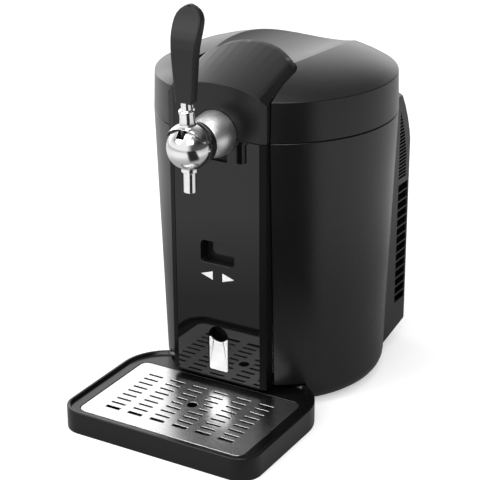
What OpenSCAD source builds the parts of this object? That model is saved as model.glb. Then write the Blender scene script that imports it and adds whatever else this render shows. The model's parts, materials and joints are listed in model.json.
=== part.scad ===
// Counter-top dispenser for a five litre mini keg: an insulated round body with a front column that
// carries the tap, a hinged lid over the keg well, a cooling unit behind and a drip tray in front.
// Origin on the axis of the keg at floor level, +Z up, the tap towards -Y, +X to the right of the front.

/* [Keg] */
// Radius of the keg that the well takes
keg_r = 86; // [80:0.5:92]
// Gap between the keg and the wall of the well
keg_gap = 2.5; // [1:0.5:5]

/* [Body] */
// Radius of the body at the line where the lid parts from it
body_r = 133.5; // [126:0.5:165]
// How much less the radius is at the foot
body_taper = 9; // [4:0.5:14]
// Radius of the rounding at the foot
foot_round = 18; // [10:1:26]
// Height of the shells' lower edge above the floor
foot_z = 2.5; // [2:0.1:5]
// Height of the parting line between body and lid
part_z = 308; // [290:1:380]
// Gap of the parting line
lid_gap = 0.8; // [0.6:0.1:1.5]
// Thickness of the moulded walls
wall = 3; // [2.4:0.1:3.6]

/* [Column] */
// Half the width of the front column
col_hw = 59; // [52:1:72]
// Width of the bevel down each side of the column
bevel_w = 7; // [5:0.5:11]
// Depth of that bevel
bevel_d = 2.5; // [1.5:0.5:4.5]
// How far the column's face stands inside the radius of the body
col_inset = 6; // [4:0.5:8]
// Height of the column's lower edge
col_z = 28.5; // [28.5:0.5:40]
// Thickness of the gloss front panel
panel_t = 3; // [2:0.5:4]

/* [Display and keys] */
// Width of the display recess
disp_w = 41.4; // [34:0.2:50]
// Height of the display recess
disp_h = 25; // [20:0.5:30]
// Height of the middle of the display
disp_z = 177.5; // [160:0.5:215]
// Depth of the display recess
disp_depth = 14; // [10:0.5:17]
// Distance from the middle to the tip of an arrow key
key_tip = 20.5; // [17:0.5:25]
// Height of the middle of the arrow keys
key_z = 151; // [145:0.5:158]

/* [Front flap] */
// Half the width of the flap's opening
slot_hw = 12.4; // [10:0.2:15]
// Height of the lower edge of the opening
slot_z0 = 38; // [36:0.5:46]
// Height of the top of the opening
slot_z1 = 92; // [80:0.5:110]
// Height of the flap's top corners
flap_z1 = 78; // [70:0.5:84]

/* [Tap] */
// Height of the tap's axis above the parting line
tap_rise = 4; // [2:0.5:6]
// Distance from the column's face to the middle of the ball
tap_reach = 50.5; // [47:0.5:64]
// Radius of the ball
ball_r = 23.3; // [20:0.1:28]
// Radius of the domed flange at the column
flange_r = 25; // [22:0.5:30]
// Radius of the threaded shank
shank_r = 7.5; // [6.5:0.1:9]
// Radius of the beer passage
bore_r = 3.5; // [2.5:0.1:4]
// Outer radius of the spout
spout_r = 6.5; // [5.5:0.1:8]
// Length of the spout below the ball's middle
spout_drop = 47.5; // [42:0.5:60]
// How far the handle leans back at rest, in degrees
lever_lean = 5.5; // [3:0.5:7]
// Height of the handle's foot above the ball's middle
handle_z0 = 44; // [42:0.5:54]
// Length of the handle
handle_l = 100; // [83:1:120]

/* [Lid] */
// Radius of the lid at its upper rim
rim_r = 132; // [122:0.5:163]
// Height of that rim above the parting line
rim_h = 43; // [40:0.5:51]
// Height of the domes above the rim, as if they met at the middle
dome_h = 28; // [24:0.5:33]
// Height above the rim of the valley between the domes, at the middle
valley_h = 9; // [6:0.5:14]
// Radius of the valley
valley_r = 110; // [95:1:130]
// Slope of the hood's top, in degrees
hood_slope = 18.6; // [12:0.2:20]
// Radius of the hood's arch
hood_arch_r = 150; // [125:1:180]
// Width of the chamfer along the hood's top edge
hood_bevel = 8; // [5:0.5:10]
// Height of the hood's front edge above the rim, at the middle
hood_rise = 12.7; // [11:0.1:15]

/* [Rear housing] */
// How far the housing's sides stand inside the radius of the body
rear_step = 28.5; // [24:0.5:34]
// How far the housing's back stands outside the radius of the body
rear_out = 11.5; // [11.5:0.5:18]
// Thickness of the housing's wall
rear_wall = 2.5; // [2:0.1:3.2]
// Pitch of the fine upper louvres
fine_pitch = 4.1; // [4:0.1:6]
// Number of fine louvres on each side
fine_n = 20; // [10:1:20]
// Pitch of the lower louvres
coarse_pitch = 10.6; // [9:0.1:11]
// Number of lower louvres on each side
coarse_n = 14; // [10:1:14]

/* [Drip tray] */
// Half the width of the tray
tray_hw = 118; // [100:1:142]
// How far the tray reaches in front of the column's face
tray_reach = 136; // [115:1:165]
// Height of the tray
tray_h = 26; // [22:0.5:26.5]
// Radius of the tray's front corners
tray_r = 24; // [16:1:32]
// Half the width of the grille
grille_hw = 101; // [84:1:104]
// Thickness of the grille
grille_t = 1.2; // [0.8:0.1:1.6]
// Pitch of the grille's columns of slots
grille_px = 28; // [24:0.5:28]
// Pitch of the grille's rows of slots
grille_py = 10.4; // [9:0.1:10.6]
// Radius of the drain hole in the grille
drain_r = 6; // [4:0.5:7]

/* [Hidden] */
$fn = 96;

// Fits
snug = 0.3;      // between pieces of one casing
run = 0.05;      // between a pin and its bore

// Body
foot_r = body_r - body_taper;
foot_h = foot_z + wall + snug;   // under side of the base pan
front_y = -(body_r - col_inset);
face_hw = col_hw - bevel_w;
body_top = part_z - lid_gap / 2;
lid_z0 = part_z + lid_gap / 2;
col_back = front_y + 15.5;
backing_y = front_y + panel_t;
rear_edge_a = 25.4;   // where the side shells end, in degrees behind the X axis

// Keg well
well_r = keg_r + keg_gap;
well_t = 1.2;
well_z = tray_h + 2 + wall + snug;   // clear of the tray's pocket
mat_t = 3;
deck_t = 3.5;
deck_z = body_top - 2.1;   // upper face of the deck
seal_gap = 0.2;

// Tray and grille
tray_z0 = 0;
tray_gap = 2;
tray_front = front_y - tray_reach;
tray_knee_y = front_y - 11.5;
tray_knee_r = 56;
tray_tail_y = -keg_r - 2;
tray_rim = 3;
grille_z = tray_h - 3.6;   // upper face of the grille
grille_y1 = front_y + 4.5;
grille_y0 = tray_front + 12;
grille_r = 9;
slot_l = 17.6;
slot_w = 3.4;
slot_row1 = 23;            // from the grille's back edge to its first row
grille_rows = 9;

// Tap
tap_y = front_y - tap_reach;
tap_z = part_z + tap_rise;
ring_y0 = ball_r - 11.3;              // the ring's place behind the ball's middle
ring_y1 = ball_r - 5.3;
spacer_r = 12;
tap_slot_hw = spacer_r + 1.2;
tap_slot_z0 = part_z - 26;
yoke_y = backing_y + wall;
yoke_t = 2.5;
yoke_hw = 24;
nut_t = 7;
tail_y1 = front_y + 30;
pin_r = 2;
saddle_r0 = ball_r + 0.4;
saddle_t = 2.3;
stem_r = 3;

// Flap
flap_t = 2.5;
flap_gap = 0.8;
flap_y = front_y + 0.3;
flap_pin_r = 0.8;
flap_axis = [0, front_y + 1.9, slot_z0 + 3.6];
pocket_depth = 14;

// Rear housing and cooling unit
rear_hw = body_r - rear_step;
rear_y1 = body_r + rear_out;
rear_y0 = 54;
rear_arc = 364;
rear_round = 7;
cap_z = 215;
cap_r = 212.5;
cap_c = body_r + 33.5 - cap_r;
belly_z = 12.5;
belly_a = 9.46;
well_out = well_r + well_t;
cold_y1 = well_out + 12.3;
cool_z = 178;
sink_y0 = cold_y1 + 4;
sink_y1 = sink_y0 + 18;
fan_y0 = sink_y1 + snug;
fan_t = 12;
fan_hw = 40;

// Hinge
hinge_y = body_r + 5.4;
hinge_z = body_top + 5.9;
hinge_pin_r = 2;
knuckle_r = 4.5;
knuckle_hw = 19.5;
ear_w = 8;

// Lid
rim_z = part_z + rim_h;
hood_front_z = rim_z + hood_rise;
hood_end_r = 2.1 * col_hw;
hood_end_y = front_y + 86.5;
hood_corner_r = 20;
liner_z = lid_z0 + 0.8;
liner_t = 2.4;

function arc_pts(cx, cy, r, a0, a1, n) =
    [for (i = [0:n]) let (a = a0 + (a1 - a0) * i / n) [cx + r * cos(a), cy + r * sin(a)]];

// Rounded rectangle about the origin
module rrect(w, h, r) {
    hull() for (sx = [-1, 1], sy = [-1, 1])
        translate([sx * (w / 2 - r), sy * (h / 2 - r)]) circle(r = r, $fn = 24);
}

// Extrudes a drawing of the front (x, z) from y0 back to y1
module on_front(y0, y1) {
    translate([0, y1, 0]) rotate([90, 0, 0]) linear_extrude(height = y1 - y0) children();
}

// Extrudes a drawing of the side (y, z) from x0 to x1
module on_side(x0, x1) {
    translate([x0, 0, 0]) rotate([90, 0, 90]) linear_extrude(height = x1 - x0) children();
}

module ycyl(y0, y1, r, x = 0, z = 0) {
    translate([x, y1, z]) rotate([90, 0, 0]) cylinder(r = r, h = y1 - y0);
}

module xcyl(x0, x1, r, y = 0, z = 0) {
    translate([x0, y, z]) rotate([0, 90, 0]) cylinder(r = r, h = x1 - x0);
}

// ---- Body ----

function body_profile(inset) = concat([[0, foot_z + inset]],
    arc_pts(foot_r - foot_round, foot_z + foot_round, foot_round - inset, -90, 0, 6),
    [[body_r - inset, part_z], [0, part_z]]);

module body_form(inset = 0) {
    rotate_extrude($fn = 180) polygon(body_profile(inset));
}

module tray_plan(grow) {
    intersection() {
        hull() for (s = [-1, 1]) {
            translate([s * (tray_hw - tray_r), tray_front + tray_r]) circle(r = tray_r + grow, $fn = 48);
            translate([s * (tray_hw - tray_knee_r), tray_knee_y]) circle(r = tray_knee_r + grow, $fn = 72);
        }
        translate([-2 * tray_hw, 2 * tray_front])
            square([4 * tray_hw, tray_tail_y + grow - 2 * tray_front]);
    }
}

// The room that the body leaves for the tray
module tray_space(grow = 0.6) {
    translate([0, 0, -1]) linear_extrude(height = tray_h + tray_gap + 1) tray_plan(grow);
}

module shell_region(s) {
    linear_extrude(height = body_top) polygon([[s * (col_hw + snug), -2 * body_r], [s * 2 * body_r, -2 * body_r],
        [s * 2 * body_r, 2 * body_r * tan(rear_edge_a)], [s * (col_hw + snug), (col_hw + snug) * tan(rear_edge_a)]]);
}

module side_shell(s) {
    difference() {
        intersection() {
            difference() {
                body_form();
                body_form(wall);
                translate([0, 0, -1]) cylinder(r = foot_r - foot_round - 2.5, h = foot_z + wall + 2);
            }
            shell_region(s);
        }
        tray_space();
    }
}

module left_shell() {
    color("#26272a") side_shell(-1);
}

module right_shell() {
    color("#26272a") side_shell(1);
}

// Floor of the body, with the pocket that the tray's tail slides into
module base_pan() {
    in0 = wall + snug;
    rise = tray_h + tray_gap;
    color("#1d1e20") difference() {
        union() {
            difference() {
                body_form(in0);
                translate([0, 0, foot_h + wall]) cylinder(r = foot_r - foot_round - in0, h = part_z);
                translate([0, 0, foot_h + wall]) intersection() {
                    translate([0, 0, -foot_h - wall]) body_form(in0 + wall);
                    translate([-body_r, -body_r, 0]) cube([2 * body_r, 2 * body_r, part_z]);
                }
                translate([-body_r, -body_r, rise + wall]) cube([2 * body_r, 2 * body_r, part_z]);
                translate([-body_r, rear_y0 - 2, belly_z - 0.7]) cube([2 * body_r, body_r, part_z]);
            }
            intersection() {
                body_form(in0);
                linear_extrude(height = rise + wall) tray_plan(0.6 + wall);
            }
        }
        tray_space();
        translate([-col_hw - snug, -body_r, col_z - snug]) cube([2 * (col_hw + snug), body_r + col_back + snug, 20]);
    }
}

module rubber_feet() {
    color("#151515") for (p = [[-72, -42], [72, -42], [-66, 62], [66, 62], [0, 0]])
        translate([p[0], p[1], 0]) cylinder(r1 = 8, r2 = 9, h = foot_h);
}

// ---- Front column ----

module column_plan() {
    polygon([[-col_hw, col_back], [-col_hw, front_y + bevel_d], [-face_hw, front_y], [face_hw, front_y],
        [col_hw, front_y + bevel_d], [col_hw, col_back]]);
}

module disp_shape(grow) {
    translate([0, disp_z]) rrect(disp_w + 2 * grow, disp_h + 2 * grow, 5 + grow);
}

module slot_shape(grow) {
    hull() {
        translate([0, slot_z1 - slot_hw]) circle(r = slot_hw + grow, $fn = 48);
        for (s = [-1, 1]) translate([s * (slot_hw - 3.5), slot_z0 + 3.5]) circle(r = 3.5 + grow, $fn = 24);
    }
}

module column_frame() {
    color("#1f2023") difference() {
        translate([0, 0, col_z]) linear_extrude(height = body_top - col_z) column_plan();
        translate([-col_hw + wall, backing_y + wall, col_z + wall])
            cube([2 * (col_hw - wall), body_r, part_z]);
        translate([-face_hw, front_y - 1, col_z + wall / 2]) cube([2 * face_hw, panel_t + 1, part_z]);
        translate([-face_hw, backing_y - 1, col_z + wall]) cube([2 * face_hw, body_r, part_z]);
    }
}

// Plate behind the gloss panel, between the column's two posts
module panel_backing() {
    color("#1f2023") difference() {
        translate([-face_hw, backing_y, col_z + wall]) cube([2 * face_hw, wall, body_top - col_z - wall]);
        on_front(front_y - 1, front_y + 30) disp_shape(2.3);
        on_front(front_y - 1, front_y + 30) slot_shape(2.3);
        ycyl(front_y - 1, yoke_y + 1, spacer_r + snug, z = tap_z);
    }
}

// Steel plate behind the column that the tap's shank is clamped to
module tap_bracket() {
    color("silver") difference() {
        translate([-yoke_hw, yoke_y, body_top - 40]) cube([2 * yoke_hw, yoke_t, 40 + tap_rise + 22]);
        ycyl(front_y - 1, front_y + 30, shank_r + 0.2, z = tap_z);
    }
}

module front_panel() {
    color("#0b0b0d") difference() {
        translate([-face_hw + 0.2, front_y, col_z + wall / 2 + 0.2])
            cube([2 * face_hw - 0.4, panel_t, body_top - col_z - wall / 2 - 0.2]);
        on_front(front_y - 1, backing_y + 1) disp_shape(0);
        on_front(front_y - 1, backing_y + 1) slot_shape(0);
        translate([-tap_slot_hw, front_y - 1, tap_slot_z0]) cube([2 * tap_slot_hw, panel_t + 2, 60]);
        on_front(front_y - 1, front_y + 0.4) arrows(0);
        xcyl(-slot_hw - 2.5, slot_hw + 2.5, flap_pin_r, flap_axis[1], flap_axis[2]);
    }
}

// Two touch keys, one pointing each way
module arrows(grow) {
    for (s = [-1, 1]) translate([0, key_z])
        polygon([[s * (6 - grow), -4.9 - grow], [s * (key_tip + grow), 0], [s * (6 - grow), 4.9 + grow]]);
}

module arrow_marks() {
    color("white") on_front(front_y, front_y + 0.4) arrows(0);
}

module display_bezel() {
    color("#17181a") difference() {
        on_front(backing_y, front_y + disp_depth + 2) disp_shape(2);
        on_front(backing_y - 1, front_y + disp_depth) disp_shape(0);
    }
}

module display_window() {
    color("#050506") on_front(front_y + disp_depth - 1, front_y + disp_depth)
        translate([0, disp_z]) rrect(disp_w - 4, disp_h - 4, 3);
}

module flap_pocket() {
    color("#17181a") difference() {
        on_front(backing_y, front_y + pocket_depth + 2) slot_shape(2);
        on_front(backing_y - 1, front_y + pocket_depth) slot_shape(0);
    }
}

module front_flap() {
    color("gainsboro") difference() {
        union() {
            on_front(flap_y, flap_y + flap_t) difference() {
                slot_shape(-flap_gap);
                translate([-30, flap_z1]) square([60, 60]);
                translate([0, flap_z1 + 8.5]) circle(r = 13);
            }
            xcyl(-8, 8, 1.6, flap_axis[1], flap_axis[2]);
        }
        xcyl(-20, 20, flap_pin_r + run, flap_axis[1], flap_axis[2]);
    }
}

module flap_pin() {
    color("silver") xcyl(-slot_hw - 2.4, slot_hw + 2.4, flap_pin_r, flap_axis[1], flap_axis[2]);
}

module control_board() {
    y0 = front_y + disp_depth + 2;
    color("darkgreen") union() {
        translate([-30, y0, 118]) cube([60, 1.6, 84]);
        for (z = [124, 136, 148]) translate([-18, y0 + 1.6, z]) cube([36, 3, 7]);
    }
}

// ---- Keg well and insulation ----

module top_deck() {
    color("#1d1e20") difference() {
        translate([0, 0, deck_z - deck_t]) cylinder(r = body_r - wall - 0.7, h = deck_t, $fn = 180);
        translate([0, 0, deck_z - deck_t - 1]) cylinder(r = well_out + snug, h = deck_t + 2);
        translate([-col_hw - 0.5, -body_r, deck_z - deck_t - 1])
            cube([2 * col_hw + 1, body_r + col_back + 0.5, deck_t + 2]);
        ycyl(-body_r, -60, shank_r + 1, z = tap_z);
        for (s = [-1, 1]) translate([s * (rear_hw + 100 - rear_wall - snug), rear_y0 + 100 - snug, deck_z])
            cube([200, 200, 3 * deck_t], center = true);
    }
}

// The well, with a recess in its floor for the mat
module keg_well() {
    color("silver") difference() {
        union() {
            translate([0, 0, well_z]) cylinder(r = well_out, h = deck_z + well_t - well_z);
            translate([0, 0, deck_z]) cylinder(r = well_out + 6, h = well_t);
            translate([0, 0, well_z - mat_t]) cylinder(r = keg_r - 4 + snug + well_t, h = mat_t + 1);
        }
        translate([0, 0, well_z + well_t]) cylinder(r = well_r, h = part_z);
        translate([0, 0, well_z + well_t - mat_t]) cylinder(r = keg_r - 4 + snug, h = part_z);
    }
}

module keg_mat() {
    color("#202020") translate([0, 0, well_z + well_t - mat_t]) difference() {
        cylinder(r = keg_r - 4, h = mat_t - 0.2);
        translate([0, 0, -1]) cylinder(r = keg_r - 30, h = 5);
    }
}

module insulation() {
    z0 = foot_h + wall + snug;
    front = well_out + 2;
    side = rear_hw - rear_wall - 1;
    color("whitesmoke") difference() {
        intersection() {
            body_form(wall + 4);
            translate([0, 0, z0]) linear_extrude(height = deck_z - deck_t - snug - z0) polygon([
                [-2 * body_r, -2 * body_r], [-col_hw - 1, -2 * body_r], [-col_hw - 1, -front], [col_hw + 1, -front],
                [col_hw + 1, -2 * body_r], [2 * body_r, -2 * body_r], [2 * body_r, rear_y0 - 2], [side, rear_y0 - 2],
                [side, front], [-side, front], [-side, rear_y0 - 2], [-2 * body_r, rear_y0 - 2]]);
        }
        translate([0, 0, well_z - snug]) cylinder(r = well_out + snug, h = part_z);
        linear_extrude(height = tray_h + tray_gap + wall + 1) tray_plan(wall + 3);
        translate([-32, 60, cool_z - 30]) cube([64, body_r, 60]);
        translate([0, 0, well_z - mat_t - snug]) cylinder(r = keg_r - 4 + well_t + 2 * snug, h = mat_t + 1);
        translate([0, rear_y0, belly_z + rear_wall + snug]) rotate([belly_a, 0, 0])
            translate([-body_r, -4, -40]) cube([2 * body_r, body_r, 40]);
    }
}

// ---- Cooling unit ----

module cold_plate() {
    color("silver") difference() {
        translate([-30, 60, cool_z - 28]) cube([60, cold_y1 - 60, 56]);
        translate([0, 0, cool_z - 60]) cylinder(r = well_out + 0.1, h = 120);
    }
}

module peltier_module() {
    color("ivory") translate([-20, cold_y1, cool_z - 20]) cube([40, 4, 40]);
}

module heat_sink() {
    color("silver") union() {
        translate([-45, sink_y0, cool_z - 56]) cube([90, 4, 112]);
        for (i = [0:12]) translate([-45 + i * 7.35, sink_y0, cool_z - 56]) cube([1.8, sink_y1 - sink_y0, 112]);
    }
}

module fan_frame() {
    color("#111111") union() {
        difference() {
            translate([-fan_hw, fan_y0, cool_z - fan_hw]) cube([2 * fan_hw, fan_t, 2 * fan_hw]);
            ycyl(fan_y0 - 1, fan_y0 + fan_t + 1, fan_hw - 2.5, z = cool_z);
            for (sx = [-1, 1], sz = [-1, 1])
                ycyl(fan_y0 - 1, fan_y0 + fan_t + 1, 2.2, x = sx * (fan_hw - 4.3), z = cool_z + sz * (fan_hw - 4.3));
        }
        ycyl(fan_y0 + fan_t - 2.4, fan_y0 + fan_t, 13, z = cool_z);
        ycyl(fan_y0 + 3, fan_y0 + fan_t - 1, 2, z = cool_z);
        for (a = [45:90:315]) translate([0, fan_y0 + fan_t - 2.4, cool_z]) rotate([0, a, 0])
            translate([-1.5, 0, 11]) cube([3, 2.4, fan_hw - 12.5]);
    }
}

module fan_rotor() {
    y0 = fan_y0 + 0.6;
    y1 = fan_y0 + fan_t - 3;
    color("#1a1a1a") difference() {
        union() {
            ycyl(y0, y1, 13.5, z = cool_z);
            intersection() {
                ycyl(y0, y1, fan_hw - 4, z = cool_z);
                for (a = [0:360 / 7:359]) translate([0, (y0 + y1) / 2, cool_z]) rotate([0, a, 0])
                    rotate([0, 0, 38]) translate([-0.8, -7, 12]) cube([1.6, 14, fan_hw]);
            }
        }
        ycyl(y0 + 1.2, y1 + 1, 2 + run, z = cool_z);
    }
}

module power_board() {
    color("darkgreen") union() {
        translate([-(rear_hw - 24), well_out + 2.3, 44]) cube([40, 2, 80]);
        translate([-(rear_hw - 27), well_out + 4.3, 50]) cube([34, 26, 30]);
        translate([-(rear_hw - 32), well_out + 4.3, 86]) cube([22, 16, 26]);
    }
}

module power_inlet() {
    color("#0e0e0e") difference() {
        union() {
            translate([-13.5, rear_y1 - 20, 42]) cube([27, 20, 20]);
            translate([-17, rear_y1, 39]) cube([34, 2, 26]);
        }
        translate([-10.5, rear_y1 - 15, 45]) cube([21, 30, 14]);
    }
    color("silver") for (x = [-6, 0, 6]) translate([x - 1, rear_y1 - 16, x == 0 ? 53 : 48]) cube([2, 12, 3]);
}

// ---- Rear housing ----

// Half the plan of the rear housing, from the middle of its back round to its side
function rear_half(inset) = let (hw = rear_hw - inset, r = rear_round - inset, big = rear_arc - inset,
    cy = rear_y1 - rear_arc, ax = hw - r, ay = cy + sqrt(pow(big - r, 2) - ax * ax), a0 = atan2(ay - cy, ax))
    concat([for (i = [0:7]) let (a = 90 + (a0 - 90) * i / 8) [big * cos(a), cy + big * sin(a)]],
        arc_pts(ax, ay, r, a0, 0, 5), [[hw, rear_y0 - (inset > 0 ? 5 : 0)]]);

module rear_plan(inset) {
    half = rear_half(inset);
    n = len(half);
    polygon(concat(half, [for (i = [n - 1:-1:0]) [-half[i][0], half[i][1]]]));
}

function cap_at(z) = cap_c + sqrt(cap_r * cap_r - (z - cap_z) * (z - cap_z));

module rear_cap(inset) {
    rotate_extrude($fn = 180) polygon(concat([[0, 0], [cap_at(cap_z) - inset, 0]],
        [for (i = [0:6]) let (z = cap_z + (part_z - cap_z) * i / 6) [cap_at(z) - inset, z]], [[0, part_z]]));
}

module rear_form(inset) {
    difference() {
        intersection() {
            translate([0, 0, 1]) linear_extrude(height = body_top - 1 - inset) rear_plan(inset);
            rear_cap(inset);
        }
        translate([0, rear_y0, belly_z + inset]) rotate([belly_a, 0, 0])
            translate([-body_r, -body_r, -part_z]) cube([2 * body_r, 4 * body_r, part_z]);
    }
}

module louvres() {
    intersection() {
        for (i = [0:fine_n - 1]) translate([-body_r, body_r - 36, 286 - i * fine_pitch])
            cube([2 * body_r, 26, fine_pitch - 1.3]);
        rear_cap(10);
    }
    for (i = [0:coarse_n - 1]) translate([-body_r, body_r - 36, 192 - i * coarse_pitch])
        cube([2 * body_r, 25, coarse_pitch - 2]);
}

module rear_housing() {
    color("#232427") difference() {
        union() {
            difference() {
                rear_form(0);
                rear_form(rear_wall);
                intersection() {
                    translate([0, 0, body_top - rear_wall - 0.7]) cylinder(r = body_r - wall - 0.3, h = 40, $fn = 180);
                    translate([-rear_hw + rear_wall, -body_r, 0]) cube([2 * (rear_hw - rear_wall), 2 * body_r, 2 * part_z]);
                }
            }
            intersection() {
                body_form(wall + snug);
                for (s = [-1, 1]) translate([s * (rear_hw + 50 - rear_wall), rear_y0 + 1.5, part_z / 2 + belly_z])
                    cube([100, 3, part_z - 0.8], center = true);
            }
        }
        translate([-body_r, 0, body_top]) cube([2 * body_r, 2 * body_r, 20]);
        louvres();
        for (i = [-4:4]) let (w = sqrt(38 * 38 - 64 * i * i))
            translate([-w, rear_y1 - 12, cool_z + 8 * i - 1.6]) cube([2 * w, 20, 3.2]);
        translate([-13.8, rear_y1 - 12, 41.7]) cube([27.6, 20, 20.6]);
    }
}

// ---- Hinge ----

module hinge_bracket() {
    color("#2a2b2e") difference() {
        union() {
            translate([-knuckle_hw - snug - ear_w, body_r + 0.8, body_top])
                cube([2 * (knuckle_hw + snug + ear_w), 8.2, 2]);
            for (s = [-1, 1]) translate([s * (knuckle_hw + snug + ear_w / 2), 0, 0]) {
                xcyl(-ear_w / 2, ear_w / 2, knuckle_r, hinge_y, hinge_z);
                translate([-ear_w / 2, hinge_y - knuckle_r, body_top]) cube([ear_w, 2 * knuckle_r, hinge_z - body_top]);
            }
        }
        xcyl(-60, 60, hinge_pin_r, hinge_y, hinge_z);
    }
}

module hinge_pin() {
    color("silver") xcyl(-knuckle_hw - ear_w, knuckle_hw + ear_w, hinge_pin_r, hinge_y, hinge_z);
}

// ---- Lid ----

function dome(r, inset) = rim_z - inset + dome_h * (1 - pow(r / (rim_r - inset), 3));

function lid_profile(inset) = concat([[0, lid_z0 - (inset > 0 ? 5 : 0)], [body_r - inset, lid_z0 - (inset > 0 ? 5 : 0)]],
    [for (i = [0:11]) let (r = (rim_r - inset) * (1 - i / 12)) [r, dome(r, inset)]], [[0, dome(0, inset)]]);

module valley(inset) {
    translate([0, 0, rim_z + valley_h + valley_r]) rotate([-93.6, 0, 0])
        translate([0, 0, -2 * body_r]) cylinder(r = valley_r + inset, h = 4 * body_r, $fn = 240);
}

module lid_form(inset) {
    difference() {
        rotate_extrude($fn = 180) polygon(lid_profile(inset));
        valley(inset);
    }
}

// Half the plan of the hood, from the middle of its rear edge round to its side
function hood_half(in0) = let (big = hood_end_r, r = hood_corner_r, ax = col_hw - r, cy = hood_end_y - big,
    ay = cy + sqrt(pow(big - r, 2) - ax * ax), a0 = atan2(ay - cy, ax))
    concat([for (i = [0:7]) let (a = 90 + (a0 - 90) * i / 8) [(big - in0) * cos(a), cy + (big - in0) * sin(a)]],
        arc_pts(ax, ay, r - in0, a0, 0, 6));

module hood_plan(in0) {
    half = hood_half(in0);
    n = len(half);
    hw = face_hw - max(0, in0 - bevel_w);
    polygon(concat(half, [[col_hw - in0, front_y + bevel_d], [hw, front_y], [-hw, front_y],
        [-col_hw + in0, front_y + bevel_d]], [for (i = [n - 1:-1:1]) [-half[i][0], half[i][1]]]));
}

// What lies under the hood's sloping arch
module arch(drop) {
    translate([0, front_y, hood_front_z - drop]) rotate([hood_slope - 90, 0, 0])
        translate([0, hood_arch_r / cos(hood_slope), -40]) cylinder(r = hood_arch_r, h = 3 * body_r, $fn = 90);
}

module hood_layer(in0, drop, z0) {
    intersection() {
        translate([0, 0, z0]) linear_extrude(height = 100) hood_plan(in0);
        arch(drop);
    }
}

module tap_notch(grow) {
    translate([-tap_slot_hw - grow, front_y - 1, lid_z0 - 1])
        cube([2 * (tap_slot_hw + grow), wall + 20, tap_rise + 1]);
    ycyl(front_y - 1, front_y + wall + 19, tap_slot_hw + grow, z = tap_z);
}

module lid_shell() {
    color("#26272a") difference() {
        union() {
            difference() {
                lid_form(0);
                lid_form(wall);
                translate([-col_hw - 0.7, -2 * body_r, lid_z0 - 1])
                    cube([2 * col_hw + 1.4, 2 * body_r + front_y + 33.5, 200]);
                translate([0, 0, rim_z - 8]) linear_extrude(height = 100) hood_plan(-0.5);
            }
            translate([-knuckle_hw, body_r - wall, hinge_z - 2.6]) cube([2 * knuckle_hw, hinge_y - body_r + wall, 6.6]);
            xcyl(-knuckle_hw, knuckle_hw, knuckle_r - 1, hinge_y, hinge_z);
        }
        xcyl(-60, 60, hinge_pin_r + run, hinge_y, hinge_z);
    }
}

module lid_hood() {
    seat = rim_z - 6;
    color("#232427") difference() {
        union() {
            hull() {
                hood_layer(0, 1.2, seat);
                hood_layer(hood_bevel, 0, seat);
            }
            translate([0, 0, lid_z0]) linear_extrude(height = seat - lid_z0 + 1) column_plan();
        }
        intersection() {
            translate([0, 0, lid_z0 - 10]) linear_extrude(height = 200) intersection() {
                hood_plan(wall);
                translate([-body_r, front_y + wall]) square([2 * body_r, 2 * body_r]);
            }
            arch(wall + 1.4);
        }
        translate([-col_hw + wall, front_y + wall, lid_z0 - 1]) cube([2 * (col_hw - wall), body_r, seat - lid_z0 - 2]);
        tap_notch(0);
        ycyl(front_y - 1, front_y + 0.4, flange_r + 0.8, z = tap_z);
    }
}

module lid_liner() {
    color("#dcdcda") difference() {
        translate([0, 0, liner_z]) cylinder(r = body_r - wall - 0.5, h = liner_t, $fn = 180);
        translate([-col_hw - 1.5, -body_r - 1, liner_z - 1]) cube([2 * col_hw + 3, body_r + col_back + 3, liner_t + 2]);
        translate([-9, -body_r, liner_z - 1]) cube([18, body_r + tail_y1 + 4, liner_t + 2]);
    }
}

module lid_foam() {
    color("white") translate([0, 0, liner_z + liner_t]) cylinder(r = well_r - 4, h = rim_h - 12);
}

module lid_seal() {
    z0 = deck_z + well_t + seal_gap;
    color("#303030") translate([0, 0, z0]) difference() {
        cylinder(r = well_out + 5, h = liner_z - z0);
        translate([0, 0, -1]) cylinder(r = well_out + 1, h = 10);
    }
}

// ---- Tap ----

function flange_at(a) = flange_r * sqrt(max(0, 1 - pow(a / 34, 2)));

module tap_flange() {
    depth = tap_reach - ring_y1;
    color("silver") translate([0, front_y, tap_z]) rotate([90, 0, 0]) difference() {
        rotate_extrude() polygon(concat([[0, 0], [flange_r, 0]],
            [for (i = [0:8]) let (a = 1.5 + (depth - 1.5) * i / 8) [flange_at(a) - 0.2, a]], [[0, depth]]));
        translate([0, 0, -1]) cylinder(r = shank_r + 0.1, h = depth + 2);
    }
}

module tap_shank() {
    color("gainsboro") difference() {
        union() {
            ycyl(tap_y + ring_y1, yoke_y + yoke_t + nut_t + 3, shank_r, z = tap_z);
            ycyl(front_y, yoke_y, spacer_r, z = tap_z);
            ycyl(yoke_y + yoke_t + nut_t, tail_y1, 4.2, z = tap_z);
            for (i = [0:3]) translate([0, tail_y1 - 2.6 * i, tap_z]) rotate([90, 0, 0])
                cylinder(r1 = 4.3, r2 = 5.2, h = 2.4);
        }
        ycyl(tap_y, tail_y1 + 1, bore_r, z = tap_z);
    }
}

module shank_nut() {
    color("goldenrod") difference() {
        translate([0, yoke_y + yoke_t + nut_t, tap_z]) rotate([90, 30, 0]) cylinder(r = 13.8, h = nut_t, $fn = 6);
        ycyl(yoke_y, yoke_y + yoke_t + nut_t + 2, shank_r, z = tap_z);
    }
}

// Places what is drawn about the ball's middle
module at_ball() {
    translate([0, tap_y, tap_z]) children();
}

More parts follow.
